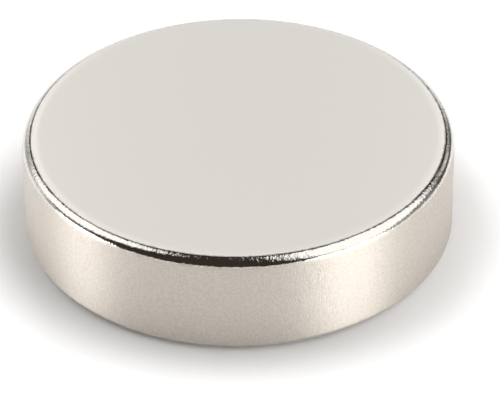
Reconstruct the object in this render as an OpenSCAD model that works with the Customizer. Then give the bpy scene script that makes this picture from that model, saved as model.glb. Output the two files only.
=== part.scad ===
// Disc magnet: one pressed, sintered and ground disc of magnet alloy, with its edges
// tumbled round and the whole body plated in nickel. The origin is the centre of the
// face that it rests on, and +Z is the disc's axis.

/* [Disc] */
// Diameter over the plated side
disc_d = 20; // [8:0.5:60]
// Thickness over the two plated faces
disc_h = 5; // [2:0.5:20]

/* [Edges] */
// Radius of the tumbled edge round the upper face
upper_edge_r = 0.5; // [0.1:0.05:0.9]
// Radius of the tumbled edge round the lower face
lower_edge_r = 0.5; // [0.1:0.05:0.9]

/* [Hidden] */
// Number of flats that draw a full circle
$fn = 128;
// How far a cut runs past the metal
past = 0.2;
disc_r = disc_d / 2;

// What tumbling takes off a square corner. The corner is at the origin, with the metal
// towards -X and -Y, and the arc meets both sides of the corner at a tangent.
module corner_waste(edge_r) {
    translate([-edge_r, -edge_r])
        difference() {
            square(edge_r + past);
            circle(r = edge_r);
        }
}

// Half of the section, from the axis out to the ground side.
module disc_section() {
    difference() {
        square([disc_r, disc_h]);
        translate([disc_r, disc_h]) corner_waste(upper_edge_r);
        translate([disc_r, 0]) mirror([0, 1]) corner_waste(lower_edge_r);
    }
}

// The magnet is one solid: its section turned once round the axis.
module magnet_disc() {
    color("#cfcac4") rotate_extrude() disc_section();
}

magnet_disc();
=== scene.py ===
# %% [markdown]
# A disc magnet is one coin of pressed and sintered alloy. It is ground flat, tumbled until
# its edges are round, and plated all over in nickel. The finished piece has three kinds of
# skin: a satin face, a mirror-bright rounded edge and a finely grained side. This lesson
# builds that one piece over the fixed CAD model, then lights it as a small studio would.

# %% Load the fixed frame
import math

import bpy
import numpy as np
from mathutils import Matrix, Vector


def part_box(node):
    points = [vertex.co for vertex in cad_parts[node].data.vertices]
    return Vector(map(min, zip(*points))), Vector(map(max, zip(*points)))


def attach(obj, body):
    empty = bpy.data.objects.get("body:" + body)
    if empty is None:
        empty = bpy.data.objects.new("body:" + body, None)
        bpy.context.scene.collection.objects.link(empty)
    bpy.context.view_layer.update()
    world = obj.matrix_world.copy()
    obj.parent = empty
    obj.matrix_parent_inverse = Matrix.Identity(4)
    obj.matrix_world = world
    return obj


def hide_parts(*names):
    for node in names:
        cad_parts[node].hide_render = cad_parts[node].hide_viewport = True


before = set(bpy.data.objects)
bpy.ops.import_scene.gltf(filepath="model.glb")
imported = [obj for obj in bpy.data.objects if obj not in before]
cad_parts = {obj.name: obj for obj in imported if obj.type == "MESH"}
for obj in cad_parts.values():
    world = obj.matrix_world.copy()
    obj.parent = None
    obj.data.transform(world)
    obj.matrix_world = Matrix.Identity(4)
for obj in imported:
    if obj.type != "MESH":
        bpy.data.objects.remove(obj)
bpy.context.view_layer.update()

disc_low, disc_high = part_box("magnet_disc")
DISC_R = (disc_high.x - disc_low.x) / 2
DISC_H = disc_high.z - disc_low.z
MM = 0.001
print(f"the CAD disc is {2 * DISC_R / MM:.2f} mm across and {DISC_H / MM:.2f} mm thick")

# %% [markdown]
# The camera comes first, because every later choice is judged through it. The magnet is
# seen through a long lens from about 35 degrees above the table, so the ellipse of the
# face is almost a parallel view. The lens is given by the number of pixels that one metre
# at one metre's distance would fill, which is how a fitted camera is usually written down.

# %% The camera
PHOTO_W = 500
CAMERA_HEIGHT_DEG = 35.50
CAMERA_ROLL_DEG = -0.685
CAMERA_DISTANCE = 0.169
FOCAL_PX = 3623.9
SHIFT_X_PX = 11.4
SHIFT_Y_PX = -25.2


def aim_camera(height_deg, roll_deg, distance):
    """Camera matrix: it stands at the given height angle on the -Y side, looks at the
    middle of the disc, and is rolled about its own line of sight."""
    height, roll = math.radians(height_deg), math.radians(roll_deg)
    back = np.array([0.0, -math.cos(height), math.sin(height)])
    level_right = np.array([1.0, 0.0, 0.0])
    level_up = np.cross(level_right, -back)
    right = math.cos(roll) * level_right + math.sin(roll) * level_up
    up = -math.sin(roll) * level_right + math.cos(roll) * level_up
    matrix = np.eye(4)
    matrix[:3, :3] = np.stack([right, up, back], axis=1)
    matrix[:3, 3] = np.array([0.0, 0.0, DISC_H / 2]) + back * distance
    return matrix


camera_data = bpy.data.cameras.new("camera")
camera_data.sensor_width = 36.0
camera_data.lens = FOCAL_PX / PHOTO_W * camera_data.sensor_width
camera_data.shift_x = SHIFT_X_PX / PHOTO_W
camera_data.shift_y = SHIFT_Y_PX / PHOTO_W
camera_data.clip_start = 0.01
camera_data.clip_end = 10.0
camera = bpy.data.objects.new("camera", camera_data)
bpy.context.scene.collection.objects.link(camera)
camera.matrix_world = aim_camera(CAMERA_HEIGHT_DEG, CAMERA_ROLL_DEG, CAMERA_DISTANCE).T
bpy.context.scene.camera = camera
bpy.context.scene.view_settings.view_transform = "Standard"
print(f"the lens is {camera_data.lens:.0f} mm at {CAMERA_DISTANCE:.3f} m")

# %% [markdown]
# Polished metal has no look of its own: it shows the room. So the room is designed with
# the same care as the piece. Here it is a sky for the World, unrolled flat round the point
# overhead, with u to the right and v away from the camera, both in degrees. Two round
# softboxes hang in a dark ceiling, and below the ceiling's rim stands a white backdrop.

# %% Small helpers for shader nodes
def put(tree, socket, value):
    """Feeds a socket with a link if the value is another socket, else with the value."""
    if isinstance(value, bpy.types.NodeSocket):
        tree.links.new(value, socket)
    else:
        socket.default_value = value


def maths(tree, operation, *values):
    """One Math node: the operation applied to the values."""
    node = tree.nodes.new("ShaderNodeMath")
    node.operation = operation
    for socket, value in zip(node.inputs, values):
        put(tree, socket, value)
    return node.outputs[0]


def ramp(tree, value, start, end, low=0.0, high=1.0):
    """Smooth step from low to high as the value goes from start to end."""
    node = tree.nodes.new("ShaderNodeMapRange")
    node.interpolation_type = "SMOOTHSTEP"
    for name, number in (("Value", value), ("From Min", start), ("From Max", end),
                         ("To Min", low), ("To Max", high)):
        put(tree, node.inputs[name], number)
    return node.outputs["Result"]


def blend_colours(tree, share, first, second):
    """Mixes two colours: the share of the second over the first."""
    node = tree.nodes.new("ShaderNodeMix")
    node.data_type = "RGBA"
    put(tree, node.inputs[0], share)
    put(tree, node.inputs[6], first)
    put(tree, node.inputs[7], second)
    return node.outputs[2]


print("node helpers are ready")

# %% The studio sky
CEILING_DARK = (0.045, 0.036, 0.030, 1.0)
BACKDROP_WHITE = (1.0, 1.0, 1.0, 1.0)
ROOM_GREY = (0.56, 0.56, 0.56, 1.0)
FLAG_GREY = (0.16, 0.15, 0.14, 1.0)
SOFTBOX_WHITE = (1.45, 1.45, 1.45, 1.0)
FRINGE_WHITE = (1.45, 1.45, 1.45, 1.0)
CORNER_GREY = (0.08, 0.08, 0.08, 1.0)
WALL_GREY = (0.40, 0.40, 0.40, 1.0)
FACE_WHITE = (0.98, 0.98, 0.98, 1.0)
# Each patch: name, colour, middle u and v, half width, half height, turn, and softness.
SKY_PATCHES = [
    ("far left corner", ROOM_GREY, -62.0, 62.0, 22.0, 22.0, 0.0, 0.40),
    ("far right corner", CORNER_GREY, 60.0, 56.0, 28.0, 25.0, 0.0, 0.30),
    ("bright part of the corner", BACKDROP_WHITE, 43.0, 47.0, 13.0, 7.0, 0.0, 0.25),
    ("ceiling", CEILING_DARK, 0.0, -20.0, 82.0, 66.0, 0.0, 0.04),
    ("left wall", WALL_GREY, -90.0, -8.0, 22.0, 42.0, 0.0, 0.08),
    ("right wall", WALL_GREY, 92.0, -5.0, 20.0, 50.0, 0.0, 0.08),
    ("left softbox", SOFTBOX_WHITE, -39.0, 18.0, 25.0, 29.0, 0.0, 0.05),
    ("right softbox", SOFTBOX_WHITE, 40.0, -6.0, 29.0, 46.0, 20.0, 0.05),
    ("right flag", FLAG_GREY, 43.0, 38.0, 40.0, 5.0, -14.0, 0.20),
    ("right wedge", CEILING_DARK, 20.0, 46.0, 14.0, 8.5, -12.0, 0.08),
    ("far left flag", FLAG_GREY, -36.0, 52.0, 20.0, 3.0, -4.0, 0.30),
    ("far right flag", FLAG_GREY, 34.0, 58.0, 18.0, 3.0, 8.0, 0.30),
    ("flag round the backdrop", CEILING_DARK, 0.0, 52.0, 27.0, 19.0, 0.0, 0.06),
    ("bright rim of the backdrop", FRINGE_WHITE, -1.0, 61.0, 11.5, 16.0, 0.0, 0.06),
    ("backdrop", FACE_WHITE, 0.0, 60.0, 6.0, 11.0, 0.0, 0.30),
]
OVAL_POWER = 2.6


def patch_share(tree, u, v, middle_u, middle_v, half_u, half_v, turn_deg, soft):
    """1 inside a patch of the unrolled sky and 0 outside, with a soft edge. The patch is a
    full oval: across and up are the offsets along its own axes over its half sizes, and
    the distance is the sum of their powers, to the root of that power."""
    turn = math.radians(turn_deg)
    du = maths(tree, "SUBTRACT", u, middle_u)
    dv = maths(tree, "SUBTRACT", v, middle_v)
    across = maths(tree, "ADD", maths(tree, "MULTIPLY", du, math.cos(turn) / half_u),
                   maths(tree, "MULTIPLY", dv, math.sin(turn) / half_u))
    up = maths(tree, "SUBTRACT", maths(tree, "MULTIPLY", dv, math.cos(turn) / half_v),
               maths(tree, "MULTIPLY", du, math.sin(turn) / half_v))
    powers = [maths(tree, "POWER", maths(tree, "ABSOLUTE", w), OVAL_POWER) for w in (across, up)]
    distance = maths(tree, "POWER", maths(tree, "ADD", *powers), 1.0 / OVAL_POWER)
    return ramp(tree, distance, 1.0 - soft, 1.0 + soft, 1.0, 0.0)


def build_sky(world):
    """Sky colour by direction, seen by every ray but the camera's, which sees white."""
    world.use_nodes = True
    tree = world.node_tree
    tree.nodes.clear()
    direction = tree.nodes.new("ShaderNodeTexCoord").outputs["Generated"]
    parts = tree.nodes.new("ShaderNodeSeparateXYZ")
    tree.links.new(direction, parts.inputs[0])
    x, y, z = parts.outputs
    flat = maths(tree, "SQRT", maths(tree, "ADD", maths(tree, "MULTIPLY", x, x),
                                     maths(tree, "MULTIPLY", y, y)))
    flat = maths(tree, "MAXIMUM", flat, 1e-5)
    degrees = maths(tree, "MULTIPLY", maths(tree, "ARCCOSINE", z), 180.0 / math.pi)
    u = maths(tree, "MULTIPLY", degrees, maths(tree, "DIVIDE", x, flat))
    v = maths(tree, "MULTIPLY", degrees, maths(tree, "DIVIDE", y, flat))
    colour = blend_colours(tree, ramp(tree, v, -10.0, -60.0), BACKDROP_WHITE, ROOM_GREY)
    for name, paint, *shape in SKY_PATCHES:
        colour = blend_colours(tree, patch_share(tree, u, v, *shape), colour, paint)
    camera_ray = tree.nodes.new("ShaderNodeLightPath").outputs["Is Camera Ray"]
    colour = blend_colours(tree, camera_ray, colour, (1.0, 1.0, 1.0, 1.0))
    background = tree.nodes.new("ShaderNodeBackground")
    output = tree.nodes.new("ShaderNodeOutputWorld")
    tree.links.new(colour, background.inputs["Color"])
    tree.links.new(background.outputs[0], output.inputs["Surface"])


world = bpy.data.worlds.new("studio_sky")
bpy.context.scene.world = world
build_sky(world)
print(f"the sky is painted with {len(SKY_PATCHES)} patches")

# %% [markdown]
# The ground side stands upright, so the softboxes overhead only graze it. Two strip lamps
# near table height give it the pair of soft upright bands by which one reads it as round.

# %% Strip lamps
STRIP_DISTANCE = 0.25
STRIPS = {
    "right": {"turn_deg": -37.0, "height_deg": 4.0, "w": 0.150, "h": 0.026, "radiance": 19.0},
    "left": {"turn_deg": -169.5, "height_deg": 4.0, "w": 0.110, "h": 0.026, "radiance": 18.0},
}


def strip_lamp(name, strip):
    """Area lamp at an angle round the disc, facing it. Its power is its radiance times pi
    times its area."""
    turn, height = math.radians(strip["turn_deg"]), math.radians(strip["height_deg"])
    away = np.array([math.cos(turn) * math.cos(height), math.sin(turn) * math.cos(height),
                     math.sin(height)])
    side = np.array([-math.sin(turn), math.cos(turn), 0.0])
    matrix = np.eye(4)
    matrix[:3, :3] = np.stack([side, np.cross(away, side), away], axis=1)
    matrix[:3, 3] = away * STRIP_DISTANCE
    lamp = bpy.data.lights.new(name, "AREA")
    lamp.shape = "RECTANGLE"
    lamp.size, lamp.size_y = strip["w"], strip["h"]
    lamp.energy = strip["radiance"] * math.pi * strip["w"] * strip["h"]
    holder = bpy.data.objects.new(name, lamp)
    bpy.context.scene.collection.objects.link(holder)
    holder.matrix_world = matrix.T
    holder.visible_camera = False
    return lamp


for side_name, strip in STRIPS.items():
    lamp = strip_lamp("strip_lamp_" + side_name, strip)
    print(f"{lamp.name}: {lamp.energy:.3f} W")

# %% [markdown]
# The table is a plain white sheet. It is a diffuse surface, so the magnet's soft shadow
# falls on it, and a little light of its own, seen only by the camera and in reflections,
# lifts the open table to pure white without adding any light to the metal. Near the disc
# that glow fades out, which paints a soft dark halo of shade round it on top of the shadow.

# %% The table
TABLE_HALF = 1.2
TABLE_WHITE = 0.97
TABLE_LIFT = 0.45
# Inside this ring the table's glow fades out: painted shade, a dark halo round the disc.
PAINTED_HALO_INNER = 0.94 * DISC_R
PAINTED_HALO_OUTER = 1.36 * DISC_R


def table_material():
    """Diffuse white plus the lift, which only camera, glossy and transmission rays see. The
    lift grows with the distance from the disc's axis, so the real shadow keeps its depth, and
    the glow fading out near the disc paints a dark halo of shade round it as well."""
    material = bpy.data.materials.new("table_white")
    material.use_nodes = True
    tree = material.node_tree
    tree.nodes.clear()
    path = tree.nodes.new("ShaderNodeLightPath")
    seen = maths(tree, "MAXIMUM", path.outputs["Is Camera Ray"], path.outputs["Is Glossy Ray"])
    seen = maths(tree, "MAXIMUM", seen, path.outputs["Is Transmission Ray"])
    place = tree.nodes.new("ShaderNodeTexCoord").outputs["Object"]
    distance = tree.nodes.new("ShaderNodeVectorMath")
    distance.operation = "LENGTH"
    tree.links.new(place, distance.inputs[0])
    # The glow is zero near the disc and full further out: painted shade round the disc.
    lift_with_painted_halo = ramp(tree, distance.outputs["Value"], PAINTED_HALO_INNER, PAINTED_HALO_OUTER, 0.0, TABLE_LIFT)
    diffuse = tree.nodes.new("ShaderNodeBsdfDiffuse")
    diffuse.inputs["Color"].default_value = (TABLE_WHITE, TABLE_WHITE, TABLE_WHITE, 1.0)
    glow = tree.nodes.new("ShaderNodeEmission")
    tree.links.new(maths(tree, "MULTIPLY", seen, lift_with_painted_halo), glow.inputs["Strength"])
    both = tree.nodes.new("ShaderNodeAddShader")
    tree.links.new(diffuse.outputs[0], both.inputs[0])
    tree.links.new(glow.outputs[0], both.inputs[1])
    output = tree.nodes.new("ShaderNodeOutputMaterial")
    tree.links.new(both.outputs[0], output.inputs["Surface"])
    return material


table_mesh = bpy.data.meshes.new("table")
table_mesh.from_pydata(
    [(-TABLE_HALF, -TABLE_HALF, 0), (TABLE_HALF, -TABLE_HALF, 0),
     (TABLE_HALF, TABLE_HALF, 0), (-TABLE_HALF, TABLE_HALF, 0)], [], [(0, 1, 2, 3)])
table = bpy.data.objects.new("table", table_mesh)
table_mesh.materials.append(table_material())
bpy.context.scene.collection.objects.link(table)
print("the table is at the disc's lower face, z = 0")

# %% [markdown]
# The disc could be a cylinder with a bevel, but a bevel has no say in how the face turns
# into the edge, and on a mirror that turn is all one sees. So the section is described by
# its tilt: how far the surface leans from level at each step along it. The face is level,
# leans a few degrees where tumbling has softened it, turns through the round edge at an
# even rate, and stands upright on the side. Adding up the steps gives the section.

# %% The section of the upper half
EDGE_R = 0.5 * MM
SOFTENED_W = 0.45 * MM
SOFTENED_TILT_DEG = 4.0
FACE_STEPS = 12
SOFT_STEPS = 8
EDGE_STEPS = 26
SIDE_STEPS = 10


def section_tilts():
    """Tilt in degrees and step length for each stretch of the section: level face, then a
    smooth start to the softened tilt, then the arc at a constant turn, then the side."""
    soft = SOFTENED_TILT_DEG * np.linspace(0, 1, SOFT_STEPS) ** 1.5
    arc = np.linspace(SOFTENED_TILT_DEG, 90, EDGE_STEPS)
    arc_step = EDGE_R * math.radians(90 - SOFTENED_TILT_DEG) / EDGE_STEPS
    across = EDGE_R * (1 - math.sin(math.radians(SOFTENED_TILT_DEG)))
    level = DISC_R - SOFTENED_W - across
    tilt = np.concatenate([np.zeros(FACE_STEPS), soft, arc])
    step = np.concatenate([np.full(FACE_STEPS, level / FACE_STEPS),
                           np.full(SOFT_STEPS, SOFTENED_W / SOFT_STEPS),
                           np.full(EDGE_STEPS, arc_step)])
    return tilt, step


def upper_section():
    """Radius, height and tilt along the upper half of the section, from the axis out to
    the middle of the side. Radius adds up step times cos(tilt), and height takes off step
    times sin(tilt). The radius is then scaled so that it ends exactly at the disc's."""
    tilt, step = section_tilts()
    lean = np.radians(tilt)
    radius = np.concatenate([[0.0], np.cumsum(step * np.cos(lean))])
    height = DISC_H - np.concatenate([[0.0], np.cumsum(step * np.sin(lean))])
    radius *= DISC_R / radius[-1]
    tilt = np.concatenate([[0.0], tilt])
    down = np.linspace(height[-1], DISC_H / 2, SIDE_STEPS + 1)[1:]
    radius = np.concatenate([radius, np.full(SIDE_STEPS, DISC_R)])
    tilt = np.concatenate([tilt, np.full(SIDE_STEPS, 90.0)])
    return radius, np.concatenate([height, down]), tilt


radius_up, height_up, tilt_up = upper_section()
print(f"the half section has {len(radius_up)} points, and its side starts "
      f"{(DISC_H - height_up[-SIDE_STEPS - 1]) / MM:.2f} mm down")

# %% [markdown]
# The section is carried round the axis as one grid of points. A faint ripple, a few
# thousandths of a millimetre deep, rides on the round edge and the side: plating never
# lies quite even, and the ripple breaks the straight edges of what the metal mirrors. It
# is a sum of waves with a fixed seed, so it closes on itself and is the same every time.

# %% The plated skin as a grid of points
COLUMNS = 880
RIPPLE_WAVES = 60
RIPPLE_DEPTH = 0.0006 * MM
RIPPLE_SEED = 12


def ripple(angle, along):
    """Sum of cosines, one per wave, each with a whole number of turns round the disc and
    a wave number along the section, scaled to a root mean square of 1."""
    rng = np.random.default_rng(RIPPLE_SEED)
    turns = rng.integers(40, 210, RIPPLE_WAVES)
    along_waves = rng.uniform(-9.0, 9.0, RIPPLE_WAVES) / MM
    phase = rng.uniform(0, 2 * math.pi, RIPPLE_WAVES)
    total = np.zeros(np.broadcast(angle, along).shape)
    for turn, wave, start in zip(turns, along_waves, phase):
        total += np.cos(turn * angle + wave * along + start)
    return total * math.sqrt(2 / RIPPLE_WAVES)


def whole_section():
    """Upper half, then the same mirrored below it, without the shared middle point."""
    radius = np.concatenate([radius_up, radius_up[-2::-1]])
    height = np.concatenate([height_up, DISC_H - height_up[-2::-1]])
    tilt = np.concatenate([tilt_up, 180 - tilt_up[-2::-1]])
    return radius, height, tilt


def skin_points():
    """Grid of points, one row per point of the section and one column per step round the
    axis. Each point is pulled inwards along its normal by the ripple's share there."""
    radius, height, tilt = whole_section()
    along = np.concatenate([[0], np.cumsum(np.hypot(np.diff(radius), np.diff(height)))])
    lean = np.radians(tilt)
    angle = np.arange(COLUMNS) * 2 * math.pi / COLUMNS
    on_edge = np.sin(lean) ** 2
    depth = RIPPLE_DEPTH * (ripple(angle[None], along[:, None]) - 3.5) * on_edge[:, None]
    rows_r = radius[:, None] + depth * np.sin(lean)[:, None]
    rows_z = height[:, None] + depth * np.cos(lean)[:, None]
    points = np.stack([rows_r * np.cos(angle), rows_r * np.sin(angle),
                       np.broadcast_to(rows_z, rows_r.shape)], axis=-1)
    return points, tilt


grid, grid_tilt = skin_points()
print(f"the grid has {grid.shape[0]} rows of {grid.shape[1]} points")

# %% From the grid to a closed mesh
def skin_mesh(points, tilt):
    """Closed mesh: the first and last rows shrink to one point each on the axis, quads
    join the rows between, and fans of triangles close both faces. Faces point outwards."""
    rows, columns = points.shape[0] - 2, points.shape[1]
    body = points[1:-1].reshape(-1, 3)
    top, bottom = points[0].mean(axis=0), points[-1].mean(axis=0)
    verts = np.concatenate([body, [top], [bottom]])
    here = np.arange(columns)
    after = np.roll(here, -1)
    row = np.arange(rows - 1)[:, None] * columns
    quads = np.stack([row + here, row + columns + here, row + columns + after, row + after],
                     axis=-1).reshape(-1, 4)
    top_fan = np.stack([np.full(columns, len(body)), here, after], axis=-1)
    last = (rows - 1) * columns
    bottom_fan = np.stack([np.full(columns, len(body) + 1), last + after, last + here], axis=-1)
    mesh = bpy.data.meshes.new("plated_disc")
    mesh.from_pydata(verts.tolist(), [], quads.tolist() + top_fan.tolist() + bottom_fan.tolist())
    mesh.polygons.foreach_set("use_smooth", np.ones(len(mesh.polygons), dtype=bool))
    lean = mesh.attributes.new("lean", "FLOAT", "POINT")
    values = np.concatenate([np.repeat(tilt[1:-1], columns), [tilt[0], tilt[-1]]])
    lean.data.foreach_set("value", values.astype(np.float32))
    mesh.update()
    return mesh


disc_mesh = skin_mesh(grid, grid_tilt)
triangles = sum(len(p.vertices) - 2 for p in disc_mesh.polygons)
print(f"the plated skin has {triangles} triangles")

# %% [markdown]
# One nickel covers the whole magnet, so there is one material. What changes over the piece
# is how smooth the plate lies: satin on the ground faces, mirror-bright on the tumbled
# edge, and a fine grain on the side. The side also gets a darker, warmer copy of the nickel,
# which is painted shade. The lean of the surface, kept as an attribute of the mesh, says
# which zone a point is in.

# %% Nickel plate
NICKEL = (0.705, 0.676, 0.636, 1.0)
# Painted shade: the side's nickel is a darker, warmer copy of the same plate.
SIDE_NICKEL_PAINTED_SHADE = (0.680, 0.625, 0.562, 1.0)
FACE_ROUGHNESS = 0.17
EDGE_ROUGHNESS = 0.05
SIDE_ROUGHNESS = 0.45
SIDE_ANISOTROPY = 0.8
SIDE_STARTS_DEG = 62.0
SIDE_FULL_DEG = 76.0
JAGGED_DEG = 24.0
EDGE_GRAIN_SCALE = 8000.0
SIDE_GRAIN_SCALE = 13000.0
GRAIN_STRETCH = 0.6
EDGE_GRAIN_DEPTH = 1.5e-5
SIDE_GRAIN_DEPTH = 1.0e-5
MOTTLE_SCALE = 10000.0
MOTTLE_DEPTH = 0.15
FACE_MOTTLE_SHARE = 0.15


def noise(tree, vector, scale, detail=2.0):
    """Noise over Object coordinates; the scale is in waves per metre."""
    node = tree.nodes.new("ShaderNodeTexNoise")
    tree.links.new(vector, node.inputs["Vector"])
    node.inputs["Scale"].default_value = scale
    node.inputs["Detail"].default_value = detail
    return node.outputs["Fac"]


def zone_masks(tree, place):
    """Shares of the side and of the bright edge at a point, from its lean. The lean runs
    from 0 on the upper face through 90 on the side to 180 on the lower face."""
    lean = tree.nodes.new("ShaderNodeAttribute")
    lean.attribute_name = "lean"
    from_level = maths(tree, "SUBTRACT", 90.0, maths(tree, "ABSOLUTE",
                       maths(tree, "SUBTRACT", lean.outputs["Fac"], 90.0)))
    off_face = ramp(tree, from_level, 2.0, 6.0)
    jag = maths(tree, "SUBTRACT", noise(tree, place, EDGE_GRAIN_SCALE, 1.0), 0.5)
    jagged = maths(tree, "ADD", from_level, maths(tree, "MULTIPLY", jag, JAGGED_DEG))
    side = ramp(tree, jagged, SIDE_STARTS_DEG, SIDE_FULL_DEG)
    edge = maths(tree, "MULTIPLY", off_face, maths(tree, "SUBTRACT", 1.0, side))
    return side, edge


def nickel_material():
    """Metal whose roughness and fine relief follow the three zones, and whose colour is
    darkened and warmed on the side as painted shade.
    """
    material = bpy.data.materials.new("nickel_plate")
    material.use_nodes = True
    tree = material.node_tree
    shader = tree.nodes["Principled BSDF"]
    place = tree.nodes.new("ShaderNodeTexCoord").outputs["Object"]
    side, edge = zone_masks(tree, place)
    roughness = maths(tree, "ADD", FACE_ROUGHNESS,
                      maths(tree, "ADD",
                            maths(tree, "MULTIPLY", side, SIDE_ROUGHNESS - FACE_ROUGHNESS),
                            maths(tree, "MULTIPLY", edge, EDGE_ROUGHNESS - FACE_ROUGHNESS)))
    tree.links.new(roughness, shader.inputs["Roughness"])
    # The side's darker, warmer nickel is painted shade.
    plate_with_side_shade = blend_colours(tree, side, NICKEL, SIDE_NICKEL_PAINTED_SHADE)
    mottle = maths(tree, "SUBTRACT", noise(tree, place, MOTTLE_SCALE, 1.0), 0.5)
    share = maths(tree, "ADD", side, FACE_MOTTLE_SHARE)
    tone = maths(tree, "ADD", 1.0, maths(tree, "MULTIPLY", mottle,
                                         maths(tree, "MULTIPLY", share, 2.0 * MOTTLE_DEPTH)))
    scale = tree.nodes.new("ShaderNodeVectorMath")
    scale.operation = "SCALE"
    tree.links.new(plate_with_side_shade, scale.inputs[0])
    tree.links.new(tone, scale.inputs["Scale"])
    tree.links.new(scale.outputs["Vector"], shader.inputs["Base Color"])
    shader.inputs["Metallic"].default_value = 1.0
    shader.inputs["Anisotropic Rotation"].default_value = 0.25
    tree.links.new(maths(tree, "MULTIPLY", side, SIDE_ANISOTROPY), shader.inputs["Anisotropic"])
    around = tree.nodes.new("ShaderNodeTangent")
    around.direction_type = "RADIAL"
    around.axis = "Z"
    tree.links.new(around.outputs[0], shader.inputs["Tangent"])
    stretch = tree.nodes.new("ShaderNodeMapping")
    tree.links.new(place, stretch.inputs["Vector"])
    stretch.inputs["Scale"].default_value = (1.0, 1.0, GRAIN_STRETCH)
    edge_grain = noise(tree, stretch.outputs["Vector"], EDGE_GRAIN_SCALE, 2.0)
    side_grain = noise(tree, stretch.outputs["Vector"], SIDE_GRAIN_SCALE, 2.0)
    edge_depth = maths(tree, "MULTIPLY", edge, EDGE_GRAIN_DEPTH)
    side_depth = maths(tree, "MULTIPLY", side, SIDE_GRAIN_DEPTH)
    bump = tree.nodes.new("ShaderNodeBump")
    bump.inputs["Distance"].default_value = 1.0
    height = maths(tree, "ADD", maths(tree, "MULTIPLY", edge_grain, edge_depth),
                   maths(tree, "MULTIPLY", side_grain, side_depth))
    tree.links.new(height, bump.inputs["Height"])
    tree.links.new(bump.outputs["Normal"], shader.inputs["Normal"])
    return material


plated_disc = bpy.data.objects.new("plated_disc", disc_mesh)
bpy.context.scene.collection.objects.link(plated_disc)
disc_mesh.materials.append(nickel_material())
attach(plated_disc, "root")
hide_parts("magnet_disc")
print("the plated disc stands for the CAD disc")

# %% [markdown]
# Last, the scene is brought up to date.

# %% Finish
bpy.context.view_layer.update()
